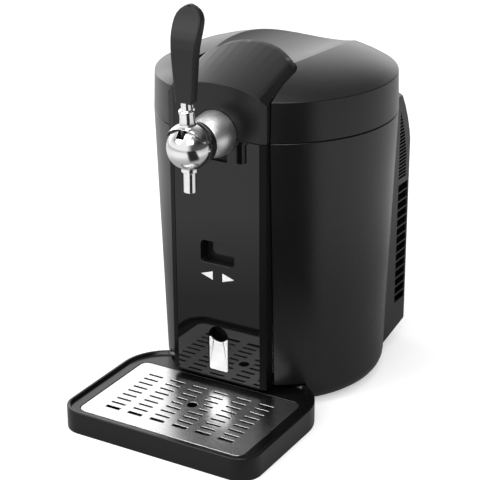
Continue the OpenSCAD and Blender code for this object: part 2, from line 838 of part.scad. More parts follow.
module tap_body() {
    color("gainsboro") at_ball() difference() {
        union() {
            sphere(r = ball_r);
            ycyl(0, ring_y1, 14);
        }
        ycyl(-3, ring_y1 + 1, bore_r - 0.4);
        ycyl(ring_y1, ball_r + 20, ball_r + 1);
        translate([0, 0, -ball_r - 1]) cylinder(r = bore_r - 0.4, h = ball_r + 1);
        on_side(-4.3, 4.3) polygon([[-5.8, -5.8], [5.8, -5.8], [9, 30], [-24, 22]]);
        xcyl(-ball_r, ball_r, pin_r);
        translate([0, 0, -ball_r - 1]) cylinder(r = spout_r - 1.4, h = 5);
    }
}

module tap_ring() {
    color("#3a3b3d") at_ball() translate([0, ring_y1, 0]) rotate([90, 0, 0]) difference() {
        rotate_extrude() polygon([
            [0, 0], [ball_r - 2.7, 0], [ball_r - 0.9, 1.4], [ball_r - 0.9, 4],
            [ball_r - 2.5, ring_y1 - ring_y0], [0, ring_y1 - ring_y0]]);
        translate([0, 0, -1]) cylinder(r = 14, h = 20);
        translate([0, 0, ring_y1]) sphere(r = ball_r + 0.05);
    }
}

module spout_ring() {
    color("gainsboro") at_ball() translate([0, 0, -ball_r - 2.6]) difference() {
        cylinder(r = spout_r + 2.2, h = 6);
        translate([0, 0, -1]) cylinder(r = spout_r - 0.5, h = 10);
        translate([0, 0, ball_r + 2.6]) sphere(r = ball_r);
    }
}

module spout_tube() {
    color("gainsboro") at_ball() difference() {
        union() {
            translate([0, 0, -spout_drop]) cylinder(r = spout_r, h = spout_drop - ball_r - 2.6);
            translate([0, 0, -spout_drop]) cylinder(r = spout_r - 0.5, h = spout_drop);
        }
        translate([0, 0, -spout_drop - 1]) cylinder(r = spout_r - 1.4, h = spout_drop + 2);
        sphere(r = ball_r);
    }
}

module pivot_pin() {
    color("silver") at_ball() xcyl(-ball_r + 1.2, ball_r - 1.2, pin_r);
}

// Places the lever's pieces, which lean back a little at rest
module at_lever() {
    at_ball() rotate([-lever_lean, 0, 0]) children();
}

// Cap that rides on the ball, with a lobe down each side
module saddle_cap() {
    color("gainsboro") at_lever() difference() {
        sphere(r = saddle_r0 + saddle_t);
        sphere(r = saddle_r0);
        translate([0, 0, -6.1]) rotate([-81.8, 0, 0]) translate([0, 0, -60]) cylinder(r = ball_r + 5.2, h = 120);
        translate([-50, -50, -100]) cube([100, 100, 100 + 4]);
        rotate([lever_lean, 0, 0]) translate([-50, ring_y0 - 0.5, -50]) cube(100);
        cylinder(r = stem_r + 0.1, h = 60);
    }
}

module lever_neck() {
    z0 = saddle_r0 + saddle_t;
    color("gainsboro") at_lever() difference() {
        rotate_extrude() polygon([[0, z0 - 2.6], [10, z0 - 2.6], [8.4, z0 - 0.4], [7.1, z0 + 1.6], [6.4, z0 + 3.6],
            [6.4, z0 + 6], [7.4, z0 + 6.4], [7.4, z0 + 9.2], [6.6, z0 + 9.8], [5, z0 + 10.2], [5, handle_z0],
            [0, handle_z0]]);
        sphere(r = z0);
        translate([0, 0, z0 - 4]) cylinder(r = stem_r, h = 60);
    }
}

module lever_stem() {
    color("silver") at_lever() difference() {
        union() {
            cylinder(r = stem_r, h = handle_z0 + 14);
            xcyl(-4, 4, 5);
        }
        xcyl(-10, 10, pin_r + run);
    }
}

module handle_slice(z, w, t) {
    translate([0, 0, z]) linear_extrude(height = 0.6) polygon([[-w / 2, -t / 2 + 2.4], [-w / 2 + 3, -t / 2],
        [w / 2 - 3, -t / 2], [w / 2, -t / 2 + 2.4], [w / 2, t / 2 - 2], [w / 2 - 2, t / 2],
        [-w / 2 + 2, t / 2], [-w / 2, t / 2 - 2]]);
}

module tap_handle() {
    color("#101012") at_lever() translate([0, 0, handle_z0]) difference() {
        hull() {
            handle_slice(0, 20, 10);
            handle_slice(handle_l * 0.68, 33, 13);
            handle_slice(handle_l * 0.88, 32.4, 12.6);
            handle_slice(handle_l * 0.965, 29, 10.5);
            handle_slice(handle_l - 0.6, 21, 7);
        }
        translate([0, 0, -1]) cylinder(r = stem_r, h = 15);
    }
}

// ---- Drip tray ----

module tray_floor_plan(in0) {
    intersection() {
        tray_plan(-in0);
        translate([-tray_hw, tray_front]) square([2 * tray_hw, grille_y1 + 2 - tray_front]);
    }
}

module grille_plan(grow) {
    translate([0, (grille_y0 + grille_y1) / 2])
        rrect(2 * (grille_hw + grow), grille_y1 - grille_y0 + 2 * grow, grille_r + grow);
}

module drip_tray() {
    seat = grille_z - grille_t;
    color("#1b1c1e") difference() {
        translate([0, 0, tray_z0]) linear_extrude(height = tray_h - tray_z0) tray_plan(0);
        hull() {
            translate([0, 0, tray_h]) linear_extrude(height = 1) tray_plan(-tray_rim);
            translate([0, 0, grille_z]) linear_extrude(height = 0.1) tray_plan(-tray_rim - 3);
        }
        translate([0, 0, seat]) linear_extrude(height = 10) grille_plan(0.6);
        translate([0, 0, tray_z0 + 2.5]) linear_extrude(height = 40) grille_plan(-4);
        translate([0, 0, -1]) linear_extrude(height = seat - 1.5) intersection() {
            tray_plan(-tray_rim);
            translate([-tray_hw, grille_y1 + 2]) square([2 * tray_hw, 200]);
        }
    }
}

module drip_grille() {
    rows = [for (j = [0:grille_rows - 1]) grille_y1 - slot_row1 - j * grille_py];
    drain_y = (rows[3] + rows[4]) / 2;
    color("gainsboro") translate([0, 0, grille_z - grille_t]) difference() {
        linear_extrude(height = grille_t) grille_plan(0);
        for (i = [-2.5:1:2.5], j = [0:grille_rows - 1]) {
            short = abs(i) < 1 && (j == 3 || j == 4);
            l = short ? slot_l - 5 : slot_l;
            w = j == grille_rows - 1 ? slot_w + 1.8 : slot_w;
            translate([i * grille_px + (short ? sign(i) * 2.5 : 0), rows[j], grille_t / 2])
                cube([l, w, 3 * grille_t], center = true);
        }
        translate([0, drain_y, -1]) cylinder(r = drain_r, h = 10);
    }
}

base_pan();
rubber_feet();
left_shell();
right_shell();
column_frame();
panel_backing();
tap_bracket();
front_panel();
display_bezel();
display_window();
arrow_marks();
flap_pocket();
front_flap();
flap_pin();
control_board();
top_deck();
keg_well();
keg_mat();
insulation();
cold_plate();
peltier_module();
heat_sink();
fan_frame();
fan_rotor();
power_board();
power_inlet();
rear_housing();
hinge_bracket();
hinge_pin();
lid_shell();
lid_hood();
lid_liner();
lid_foam();
lid_seal();
tap_flange();
tap_shank();
shank_nut();
tap_body();
tap_ring();
spout_ring();
spout_tube();
pivot_pin();
saddle_cap();
lever_neck();
lever_stem();
tap_handle();
drip_tray();
drip_grille();
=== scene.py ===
"""Finishes, finer pieces and studio for the mini keg dispenser, laid over its CAD frame."""

import json
import math

import bmesh
import bpy
from mathutils import Matrix, Vector


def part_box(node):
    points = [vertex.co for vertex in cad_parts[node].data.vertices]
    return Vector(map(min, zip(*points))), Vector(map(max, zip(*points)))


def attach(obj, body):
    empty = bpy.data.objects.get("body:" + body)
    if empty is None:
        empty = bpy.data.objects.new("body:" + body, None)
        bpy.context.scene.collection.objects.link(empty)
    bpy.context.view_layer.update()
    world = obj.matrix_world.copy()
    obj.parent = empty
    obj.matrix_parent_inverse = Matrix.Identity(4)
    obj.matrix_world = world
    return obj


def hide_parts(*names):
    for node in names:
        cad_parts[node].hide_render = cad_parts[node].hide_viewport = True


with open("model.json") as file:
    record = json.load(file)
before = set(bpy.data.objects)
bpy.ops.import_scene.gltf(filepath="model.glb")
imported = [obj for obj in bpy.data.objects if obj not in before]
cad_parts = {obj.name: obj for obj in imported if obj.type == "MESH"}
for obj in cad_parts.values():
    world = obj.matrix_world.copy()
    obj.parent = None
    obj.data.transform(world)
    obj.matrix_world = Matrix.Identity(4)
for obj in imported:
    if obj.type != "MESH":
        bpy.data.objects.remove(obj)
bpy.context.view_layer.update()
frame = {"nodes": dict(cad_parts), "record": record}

bl_info = {
    "name": "Mini Keg Dispenser",
    "version": (1, 0, 0),
    "blender": (4, 5, 0),
    "location": "3D Viewport > Sidebar > Dispenser",
    "description": "Builds the finishes and fine pieces of a counter-top mini keg dispenser",
    "category": "Add Mesh",
}

MM = 0.001
# Distances within which vertices are merged: in a copy from the frame, and at the ends of a spun shape
MERGE = 0.02 * MM
POLE_MERGE = 0.001 * MM
BODIES = {n: b for b, ns in frame["record"]["behaviour"]["bodies"].items() for n in ns}
FINISHES = {}

# Places taken from the frame: the column's face and the middle of the tap's ball
COLUMN_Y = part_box("front_panel")[0].y
PIVOT_LOW, PIVOT_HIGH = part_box("pivot_pin")
BALL = Vector((0.0, (PIVOT_LOW.y + PIVOT_HIGH.y) / 2, (PIVOT_LOW.z + PIVOT_HIGH.z) / 2))

# The hood's arched crown: its height at the column's face, its slope and its radius
HOOD_CROWN = 363.7 * MM
HOOD_SLOPE = math.radians(18.6)
HOOD_RADIUS = 150 * MM
# How far the frame's crown lies under that one, and how the raised one tilts along its length
HOOD_LIFT = 8.7 * MM
HOOD_FRONT_RISE = 1.6 * MM
HOOD_REAR_FALL = 1.0 * MM
HOOD_LENGTH = 86.5 * MM
# What lies this far above the flange belongs to the crown and not to the front
HOOD_FRONT_MARGIN = 3 * MM
# The band round the crown: where it starts from the middle, its width and the frame's fall over it
BAND_START = 51 * MM
BAND_WIDTH = 8 * MM
BAND_DEPTH = 1.2 * MM
# The raised crown's fall over the band behind and at the sides, and where one turns into the other
BAND_REAR_FALL = 1.6 * MM
BAND_SIDE_FALL = 4.5 * MM
BAND_TURN_START = 30 * MM
BAND_TURN_WIDTH = 21 * MM
# What lies higher over the frame's crown than this is one of its flat corners
CORNER_MARGIN = 0.05 * MM
# What lies less than this under the frame's crown is its skin, and what lies deeper is its underside
CROWN_SKIN = 1.5 * BAND_DEPTH

# How far the lever leans forward
LEVER_LEAN = math.radians(5.5)
# Outline of the neck: radius and height over the ball's middle, in millimetres
NECK = (
    (0.0, 22.2), (10.4, 22.2), (9.5, 23.3), (8.7, 24.8), (8.1, 26.8), (7.8, 29.5), (7.7, 31.0), (7.7, 37.2),
    (8.3, 37.7), (8.3, 39.6), (7.8, 40.2), (5.8, 40.5), (5.5, 40.8), (5.5, 49.0), (0.0, 49.0),
)
NECK_STEPS = 72
# Along the handle from its foot, in millimetres: height, width, thickness and how far it bends back
HANDLE = (
    (0.0, 20.4, 10.6, 0.0), (13.0, 22.4, 11.2, 1.0), (24.0, 24.0, 11.6, 2.2), (37.0, 25.7, 12.0, 3.2),
    (48.0, 27.3, 12.3, 4.2), (58.0, 28.9, 12.3, 5.8), (67.0, 30.9, 12.0, 8.4), (74.0, 32.2, 11.4, 11.4),
    (80.0, 32.4, 10.8, 14.3), (85.0, 31.5, 10.2, 16.6), (90.0, 27.8, 9.4, 18.6), (94.0, 21.5, 8.4, 19.8),
    (97.0, 13.0, 7.2, 20.5), (98.6, 5.0, 6.2, 20.8),
)
# How far its foot is from the ball's middle, and the length in millimetres that the rows are scaled to
HANDLE_FOOT = 47.5 * MM
HANDLE_LENGTH = 95.1
HANDLE_CUTS = 46
# Over 1, the cuts crowd towards the handle's rounded top
HANDLE_CROWDING = 1.6

SENSOR = 36.0
FLOOR_SIZE = 6.0
# The floor's two near shades, how much it glows for the camera and its shade where it is dim
FLOOR_SHADES = ((0.86, 0.86, 0.86), (0.9, 0.9, 0.9))
FLOOR_GLOW = 0.45
FLOOR_DIM = (0.02, 0.02, 0.02, 1)
LAMP_AIM = Vector((0, -0.03, 0.2))
# Name, place, size and power of each lamp
LAMPS = (
    ("key", (-0.9, -1.3, 1.5), (0.9, 0.9), 11.0),
    ("front", (1.0, -1.4, 1.7), (1.0, 0.8), 10.0),
    ("top", (0.0, -0.5, 2.0), (1.2, 1.2), 9.0),
    ("side", (-1.5, 0.7, 0.8), (0.5, 1.0), 3.0),
)
# Dark cards that shiny pieces see: azimuth, half angle of the dark core and half angle of its rim
FLOOR_CARD = (40.0, 18.0, 26.0)
WALL_CARD = (106.0, 62.0, 86.0)
# What shiny pieces see, each as level at the start, level at the end, start and end of a range:
# over the distance on the floor, the card's edge and the floor's shine
FLOOR_CARD_EDGE = (0, 1, 0.27, 0.4)
FLOOR_SHINE = (0.5, 1.3, 0.38, 0.85)
# over the height of a direction, the card's top edge and the light along the horizon
WALL_CARD_EDGE = (1.0, 0.0, 0.6, 0.92)
HORIZON = (1.0, 0.0, 0.2, 0.55)
# over how near a direction is to the camera's, and to that of the light in front
ROOM = (1.5, 0.3, -0.65, 0.05)
FRONT_LIGHT = (0.0, 1.0, 0.35, 0.7)
# over the strength of the dark card
CARD_LEVEL = (1.0, 0.08, 0.0, 1.0)
# The way to the light in front
AHEAD = (0.1, -0.95, 0.3)


# ---------------------------------------------------------------------------
# Settings
# ---------------------------------------------------------------------------


class DispenserFinishes(bpy.types.PropertyGroup):
    """Colours and gloss of the finishes"""

    satin: bpy.props.FloatVectorProperty(
        name="Satin Black", description="Colour of the moulded shells and the lid",
        subtype="COLOR", default=(0.0052, 0.0052, 0.0056), min=0.0, max=1.0)
    casing: bpy.props.FloatVectorProperty(
        name="Casing Black", description="Colour of the column, hood and rear housing",
        subtype="COLOR", default=(0.0052, 0.0052, 0.0056), min=0.0, max=1.0)
    gloss: bpy.props.FloatVectorProperty(
        name="Gloss Black", description="Colour of the front panel",
        subtype="COLOR", default=(0.003, 0.003, 0.0034), min=0.0, max=1.0)
    satin_rough: bpy.props.FloatProperty(
        name="Satin Roughness", description="How soft the shells' reflections are",
        default=0.28, min=0.05, max=0.9)
    chrome: bpy.props.FloatVectorProperty(
        name="Chrome", description="Colour of the plated pieces",
        subtype="COLOR", default=(0.86, 0.86, 0.87), min=0.0, max=1.0)
    steel: bpy.props.FloatVectorProperty(
        name="Stainless Steel", description="Colour of the grille and the shank",
        subtype="COLOR", default=(0.84, 0.84, 0.84), min=0.0, max=1.0)


class DispenserPieces(bpy.types.PropertyGroup):
    """Sizes of the fine work"""

    edge: bpy.props.FloatProperty(
        name="Moulded Edge", description="Width of the rounding on moulded edges",
        default=0.7 * MM, min=0.0, max=3 * MM, unit="LENGTH")
    metal_edge: bpy.props.FloatProperty(
        name="Metal Edge", description="Width of the rounding on metal edges",
        default=0.3 * MM, min=0.0, max=1 * MM, unit="LENGTH")


class DispenserStudio(bpy.types.PropertyGroup):
    """Camera and light"""

    lens: bpy.props.FloatProperty(
        name="Lens", description="Focal length on a 36 mm sensor", default=115.32, min=20, max=300)
    azimuth: bpy.props.FloatProperty(
        name="Azimuth", description="Direction of the camera round the object",
        default=math.radians(30.659), subtype="ANGLE")
    elevation: bpy.props.FloatProperty(
        name="Elevation", description="Height of the camera above the horizon",
        default=math.radians(22.353), subtype="ANGLE")
    roll: bpy.props.FloatProperty(
        name="Roll", description="Tilt of the picture", default=math.radians(-0.365), subtype="ANGLE")
    place: bpy.props.FloatVectorProperty(
        name="Camera Place", description="Where the camera stands",
        default=(0.7872, -1.4079, 0.8112), subtype="TRANSLATION", unit="LENGTH")
    fill: bpy.props.FloatProperty(
        name="Room Light", description="Level of the light from all round", default=0.55, min=0, max=2)


# ---------------------------------------------------------------------------
# Materials
# ---------------------------------------------------------------------------


def new_material(name):
    """An empty node material with its output and a Principled shader"""
    mat = bpy.data.materials.new(name)
    mat.use_nodes = True
    tree = mat.node_tree
    tree.nodes.clear()
    out = tree.nodes.new("ShaderNodeOutputMaterial")
    shader = tree.nodes.new("ShaderNodeBsdfPrincipled")
    tree.links.new(shader.outputs[0], out.inputs[0])
    return mat, tree, shader


def object_space(tree, scale=(1, 1, 1), place=(0, 0, 0)):
    """Object coordinates through a Mapping node"""
    coords = tree.nodes.new("ShaderNodeTexCoord")
    mapping = tree.nodes.new("ShaderNodeMapping")
    mapping.inputs["Location"].default_value = place
    mapping.inputs["Scale"].default_value = scale
    tree.links.new(coords.outputs["Object"], mapping.inputs["Vector"])
    return mapping.outputs["Vector"]


def noise(tree, vector, scale, detail=3.0, rough=0.5):
    """A cloudy texture"""
    node = tree.nodes.new("ShaderNodeTexNoise")
    node.inputs["Scale"].default_value = scale
    node.inputs["Detail"].default_value = detail
    node.inputs["Roughness"].default_value = rough
    tree.links.new(vector, node.inputs["Vector"])
    return node.outputs["Fac"]


def spread(tree, fac, low, high, start=0.3, end=0.7):
    """Maps start..end of a value, for a texture its middle range, to low..high"""
    node = tree.nodes.new("ShaderNodeMapRange")
    node.inputs["From Min"].default_value = start
    node.inputs["From Max"].default_value = end
    node.inputs["To Min"].default_value = low
    node.inputs["To Max"].default_value = high
    tree.links.new(fac, node.inputs["Value"])
    return node.outputs["Result"]


def arithmetic(tree, operation, one, other):
    """Two values through a Math node"""
    node = tree.nodes.new("ShaderNodeMath")
    node.operation = operation
    tree.links.new(one, node.inputs[0])
    tree.links.new(other, node.inputs[1])
    return node.outputs["Value"]


def inverse(tree, value):
    """1 where a value is 0, down to 0 where it is 1"""
    return spread(tree, value, 1, 0, 0, 1)


def vector_math(tree, operation, vector, other=None):
    """A vector, and a fixed one where the operation needs it, through a Vector Math node"""
    node = tree.nodes.new("ShaderNodeVectorMath")
    node.operation = operation
    tree.links.new(vector, node.inputs[0])
    if other is not None:
        node.inputs[1].default_value = other
    return node


def facing(tree, flat, azimuth, core, rim):
    """1 where a level vector lies within core degrees of an azimuth, down to 0 at rim degrees"""
    turn = math.radians(azimuth)
    unit = vector_math(tree, "NORMALIZE", flat)
    dot = vector_math(tree, "DOT_PRODUCT", unit.outputs["Vector"], (math.sin(turn), -math.cos(turn), 0))
    return spread(tree, dot.outputs["Value"], 0.0, 1.0,
                  math.cos(math.radians(rim)), math.cos(math.radians(core)))


def mix_shaders(tree, fac, one, other):
    """One shader where fac is 0, the other where it is 1"""
    node = tree.nodes.new("ShaderNodeMixShader")
    tree.links.new(fac, node.inputs[0])
    tree.links.new(one, node.inputs[1])
    tree.links.new(other, node.inputs[2])
    return node.outputs[0]


def tint(tree, fac, dark, light):
    """A colour that drifts between two near shades"""
    node = tree.nodes.new("ShaderNodeMix")
    node.data_type = "RGBA"
    node.inputs["A"].default_value = (*dark, 1)
    node.inputs["B"].default_value = (*light, 1)
    tree.links.new(fac, node.inputs["Factor"])
    return node.outputs["Result"]


def bump(tree, shader, height, strength, depth=0.2 * MM):
    """Fine relief, no deeper than depth"""
    node = tree.nodes.new("ShaderNodeBump")
    node.inputs["Strength"].default_value = strength
    node.inputs["Distance"].default_value = depth
    tree.links.new(height, node.inputs["Height"])
    tree.links.new(node.outputs["Normal"], shader.inputs["Normal"])


def shade(colour, k):
    """A colour made k times as bright"""
    return tuple(min(1.0, c * k) for c in colour)


def surface(tree, shader, tone, dark, light, cloud, low, high, start=0.3, end=0.7):
    """Drives the colour from one texture and the roughness from another"""
    tree.links.new(tint(tree, spread(tree, tone, 0, 1), dark, light), shader.inputs["Base Color"])
    tree.links.new(spread(tree, cloud, low, high, start, end), shader.inputs["Roughness"])


def moulded(name, colour, rough, grain=0.06, level=0.5):
    """Moulded plastic: a fine spark grain, and a slow drift in gloss and shade"""
    mat, tree, shader = new_material(name)
    space = object_space(tree)
    slow = noise(tree, space, scale=9.0, detail=4.0)
    fine = noise(tree, space, scale=900.0, detail=2.0)
    surface(tree, shader, slow, shade(colour, 0.93), shade(colour, 1.07), slow, rough - 0.02, rough + 0.03)
    shader.inputs["Specular IOR Level"].default_value = level
    bump(tree, shader, fine, grain)
    return mat


def piano(name, colour, rough=0.025, level=0.35):
    """Polished black plastic with faint polishing haze"""
    mat, tree, shader = new_material(name)
    space = object_space(tree)
    haze = noise(tree, space, scale=30.0, detail=5.0, rough=0.6)
    swirl = noise(tree, space, scale=220.0, detail=2.0)
    surface(tree, shader, haze, colour, shade(colour, 1.25), haze, rough, rough + 0.02, 0.35, 0.75)
    shader.inputs["Specular IOR Level"].default_value = level
    bump(tree, shader, swirl, strength=0.02, depth=0.1 * MM)
    return mat


def plated(name, colour, rough=0.06):
    """Bright plating over a polished casting"""
    mat, tree, shader = new_material(name)
    space = object_space(tree)
    cloud = noise(tree, space, scale=45.0, detail=4.0)
    peel = noise(tree, space, scale=160.0, detail=2.0)
    shader.inputs["Metallic"].default_value = 1.0
    surface(tree, shader, cloud, shade(colour, 0.96), colour, cloud, rough, rough + 0.03)
    bump(tree, shader, peel, strength=0.03)
    return mat


def brushed(name, colour, stretch, rough=0.22, strength=0.25, lines=40.0):
    """Metal with fine straight brushing; stretch is small along the lines"""
    mat, tree, shader = new_material(name)
    space = object_space(tree, stretch)
    grain = noise(tree, space, scale=lines, detail=6.0, rough=0.7)
    cloud = noise(tree, object_space(tree), scale=12.0)
    shader.inputs["Metallic"].default_value = 1.0
    surface(tree, shader, grain, shade(colour, 0.86), colour, cloud, rough - 0.04, rough + 0.05)
    bump(tree, shader, grain, strength, depth=0.06 * MM)
    return mat


def turned(name, colour, centre, rough=0.2, strength=0.2):
    """Metal with rings of brushing about an axis along Y through centre"""
    mat, tree, shader = new_material(name)
    space = object_space(tree, place=(-centre.x, 0, -centre.z))
    split = tree.nodes.new("ShaderNodeSeparateXYZ")
    flat = tree.nodes.new("ShaderNodeCombineXYZ")
    rings = tree.nodes.new("ShaderNodeCombineXYZ")
    tree.links.new(space, split.inputs[0])
    tree.links.new(split.outputs["X"], flat.inputs["X"])
    tree.links.new(split.outputs["Z"], flat.inputs["Y"])
    length = vector_math(tree, "LENGTH", flat.outputs[0])
    tree.links.new(length.outputs["Value"], rings.inputs["X"])
    tree.links.new(split.outputs["Y"], rings.inputs["Y"])
    grain = noise(tree, rings.outputs[0], scale=1600.0, rough=0.6)
    cloud = noise(tree, object_space(tree), scale=25.0)
    shader.inputs["Metallic"].default_value = 1.0
    surface(tree, shader, grain, shade(colour, 0.85), colour, cloud, rough - 0.03, rough + 0.05)
    bump(tree, shader, grain, strength, depth=0.05 * MM)
    return mat


def cellular(name, colour, scale=400.0, rough=0.85, strength=0.5):
    """Foam or rubber: small cells with a soft, dull surface"""
    mat, tree, shader = new_material(name)
    space = object_space(tree)
    cells = tree.nodes.new("ShaderNodeTexVoronoi")
    cells.inputs["Scale"].default_value = scale
    tree.links.new(space, cells.inputs["Vector"])
    slow = noise(tree, space, scale=14.0, detail=4.0)
    surface(tree, shader, slow, shade(colour, 0.9), colour, slow, rough - 0.05, min(1.0, rough + 0.06))
    bump(tree, shader, cells.outputs["Distance"], strength, depth=0.3 * MM)
    return mat


def make_finishes(settings):
    """All finishes by name"""
    satin, casing, gloss = tuple(settings.satin), tuple(settings.casing), tuple(settings.gloss)
    chrome, steel, rough = tuple(settings.chrome), tuple(settings.steel), settings.satin_rough
    return {
        "satin": moulded("satin_black_shell", satin, rough=rough, grain=0.05),
        "hood": moulded("satin_black_casing", casing, rough=rough + 0.02, grain=0.05, level=0.42),
        "rear": moulded("matt_black_casing", casing, rough=rough + 0.1, grain=0.12),
        "inner": moulded("matt_black_inner", (0.005, 0.005, 0.0053), rough=0.5, grain=0.15, level=0.25),
        # The column's bevel: the casing black at half its colour and with a low specular level, painted
        # shade on its side face
        "strip": moulded("bevel_black", shade(casing, 0.5), rough=0.25, grain=0.03, level=0.12),
        "tray": moulded("tray_black", (0.004, 0.004, 0.0043), rough=0.2, grain=0.05),
        "panel": piano("piano_black", gloss, rough=0.025, level=0.43),
        "window": piano("smoked_window", (0.012, 0.012, 0.013), rough=0.1, level=0.4),
        "handle": moulded("handle_black", (0.016, 0.016, 0.0165), rough=0.42, grain=0.03, level=0.3),
        "ink": moulded("white_ink", (0.95, 0.95, 0.94), rough=0.5, grain=0.02),
        "liner": moulded("liner_white", (0.7, 0.7, 0.68), rough=0.4),
        "ceramic": moulded("ceramic_white", (0.75, 0.74, 0.7), rough=0.6),
        "board": moulded("board_green", (0.01, 0.09, 0.035), rough=0.35, grain=0.1),
        "chrome": plated("bright_chrome", chrome, rough=0.12),
        "plate": plated("plated_flap", (0.95, 0.95, 0.95), rough=0.3),
        "brass": plated("machined_brass", (0.72, 0.5, 0.2), rough=0.25),
        "pin": brushed("ground_steel", shade(steel, 0.8), (1, 30, 30), rough=0.25),
        "grille": brushed("brushed_grille", steel, (0.06, 1, 1), rough=0.24, strength=0.2, lines=700.0),
        "steel": brushed("drawn_steel", steel, (1, 0.05, 1), rough=0.2, strength=0.2, lines=400.0),
        "aluminium": brushed("drawn_aluminium", (0.7, 0.71, 0.72), (1, 1, 0.05),
                             rough=0.32, strength=0.2, lines=300.0),
        # The flange: the steel made 1.18 times as bright, painted light that brightens its turned face
        "flange": turned("turned_flange", shade(steel, 1.18), BALL, rough=0.38, strength=0.9),
        "foam": cellular("white_foam", (0.8, 0.8, 0.78), scale=500.0),
        "rubber": cellular("black_rubber", (0.012, 0.012, 0.012), scale=900.0, rough=0.75, strength=0.2),
    }


# ---------------------------------------------------------------------------
# Meshes
# ---------------------------------------------------------------------------


def put(name, bm, material, node, smooth=35.0):
    """Makes an object of a bmesh, with sharp edges over an angle, that stands in for a node"""
    for face in bm.faces:
        face.smooth = True
    limit = math.radians(smooth)
    for edge in bm.edges:
        edge.smooth = len(edge.link_faces) == 2 and edge.calc_face_angle(0.0) < limit
    mesh = bpy.data.meshes.new(name)
    bm.to_mesh(mesh)
    bm.free()
    obj = bpy.data.objects.new(name, mesh)
    bpy.context.scene.collection.objects.link(obj)
    mesh.materials.append(material)
    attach(obj, BODIES[node])
    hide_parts(node)
    return obj


def cad_copy(node):
    """A merged copy of a CAD node's mesh"""
    bm = bmesh.new()
    bm.from_mesh(frame["nodes"][node].data)
    bmesh.ops.remove_doubles(bm, verts=bm.verts, dist=MERGE)
    return bm


def soften(obj, width, segments=2, angle=40.0):
    """Rounds the edges over an angle"""
    mod = obj.modifiers.new("Edges", "BEVEL")
    mod.width = width
    mod.segments = segments
    mod.limit_method = "ANGLE"
    mod.angle_limit = math.radians(angle)
    mod.use_clamp_overlap = False
    mod.miter_outer = "MITER_ARC"
    even = obj.modifiers.new("Normals", "WEIGHTED_NORMAL")
    even.keep_sharp = True
    return obj


def between(table, at, column):
    """Reads a column of a table of rows by its first column"""
    for low, high in zip(table, table[1:]):
        if at <= high[0]:
            k = (at - low[0]) / (high[0] - low[0])
            return low[column] + (high[column] - low[column]) * k
    return table[-1][column]


def finer(node, material, width=0.0, segments=2, angle=40.0, smooth=35.0):
    """A node's own shape with rounded edges and smooth curves"""
    obj = put(node + "_fine", cad_copy(node), material, node, smooth)
    if width:
        soften(obj, width, segments, angle)
    return obj


def refine(context, rows):
    """Makes the finer piece of each row: a node, its finish and its rounding, which a setting may give"""
    settings = context.scene.dispenser_pieces
    for node, finish, width, *rest in rows:
        if isinstance(width, str):
            width = getattr(settings, width)
        finer(node, FINISHES[finish], width, *rest)


def share(value, start, width):
    """How far a value has come from start over a width, from 0 to 1"""
    return min(max((value - start) / width, 0.0), 1.0)


def crowned_hood():
    """The hood with its arched top raised until it meets the dome, and a steeper band round it"""
    bm = cad_copy("lid_hood")
    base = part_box("tap_flange")[1].z + HOOD_FRONT_MARGIN
    for v in bm.verts:
        if v.co.z > base:
            aside = abs(v.co.x)
            back = v.co.y - COLUMN_Y
            sag = HOOD_RADIUS - math.sqrt(HOOD_RADIUS ** 2 - v.co.x ** 2)
            crown = HOOD_CROWN + back * math.tan(HOOD_SLOPE) - sag / math.cos(HOOD_SLOPE)
            depth = crown - HOOD_LIFT - v.co.z
            if depth < -CORNER_MARGIN:
                depth = BAND_DEPTH * share(aside, BAND_START, BAND_WIDTH)
            if depth < CROWN_SKIN:
                turn = share(aside, BAND_TURN_START, BAND_TURN_WIDTH)
                fall = BAND_REAR_FALL + (BAND_SIDE_FALL - BAND_REAR_FALL) * turn
                depth = min(depth / BAND_DEPTH, 1.0) * fall
            tilt = HOOD_FRONT_RISE - (HOOD_FRONT_RISE + HOOD_REAR_FALL) * back / HOOD_LENGTH
            v.co.z = crown - depth + tilt
    obj = put("lid_hood_crowned", bm, FINISHES["hood"], "lid_hood", smooth=9.0)
    return soften(obj, 0.3 * MM, angle=20.0)


def on_lever(bm):
    """Moves a shape made over the origin to the ball, with the lever's lean"""
    bmesh.ops.rotate(bm, verts=bm.verts, cent=(0, 0, 0), matrix=Matrix.Rotation(LEVER_LEAN, 3, "X"))
    bmesh.ops.translate(bm, verts=bm.verts, vec=BALL)


def neck():
    """The neck over the saddle cap: a flared foot, a collar and the stem under the handle"""
    bm = bmesh.new()
    points = [bm.verts.new((r * MM, 0, z * MM)) for r, z in NECK]
    edges = [bm.edges.new(pair) for pair in zip(points, points[1:])]
    bmesh.ops.spin(bm, geom=points + edges, cent=(0, 0, 0), axis=(0, 0, 1), angle=math.tau,
                   steps=NECK_STEPS, use_merge=True)
    bmesh.ops.remove_doubles(bm, verts=bm.verts, dist=POLE_MERGE)
    bmesh.ops.recalc_face_normals(bm, faces=bm.faces)
    on_lever(bm)
    return put("lever_neck_turned", bm, FINISHES["chrome"], "lever_neck", smooth=32.0)


def handle():
    """The paddle: a bar swept up and back, broad under its rounded top"""
    bm = bmesh.new()
    bmesh.ops.create_cube(bm, size=1.0)
    bmesh.ops.translate(bm, verts=bm.verts, vec=(0, 0, 0.5))
    upright = [e for e in bm.edges if abs(e.verts[0].co.z - e.verts[1].co.z) > 0.5]
    bmesh.ops.subdivide_edges(bm, edges=upright, cuts=HANDLE_CUTS, use_grid_fill=True)
    top = HANDLE[-1][0]
    for v in bm.verts:
        at = top * (1 - (1 - v.co.z) ** HANDLE_CROWDING)
        width, thick, back = (between(HANDLE, at, c) for c in (1, 2, 3))
        v.co = Vector((v.co.x * width, v.co.y * thick + back, at * HANDLE_LENGTH / top)) * MM
        v.co.z += HANDLE_FOOT
    on_lever(bm)
    obj = put("handle_paddle", bm, FINISHES["handle"], "tap_handle", smooth=50.0)
    return soften(obj, 2.2 * MM, segments=4, angle=60.0)


# ---------------------------------------------------------------------------
# Operators
# ---------------------------------------------------------------------------


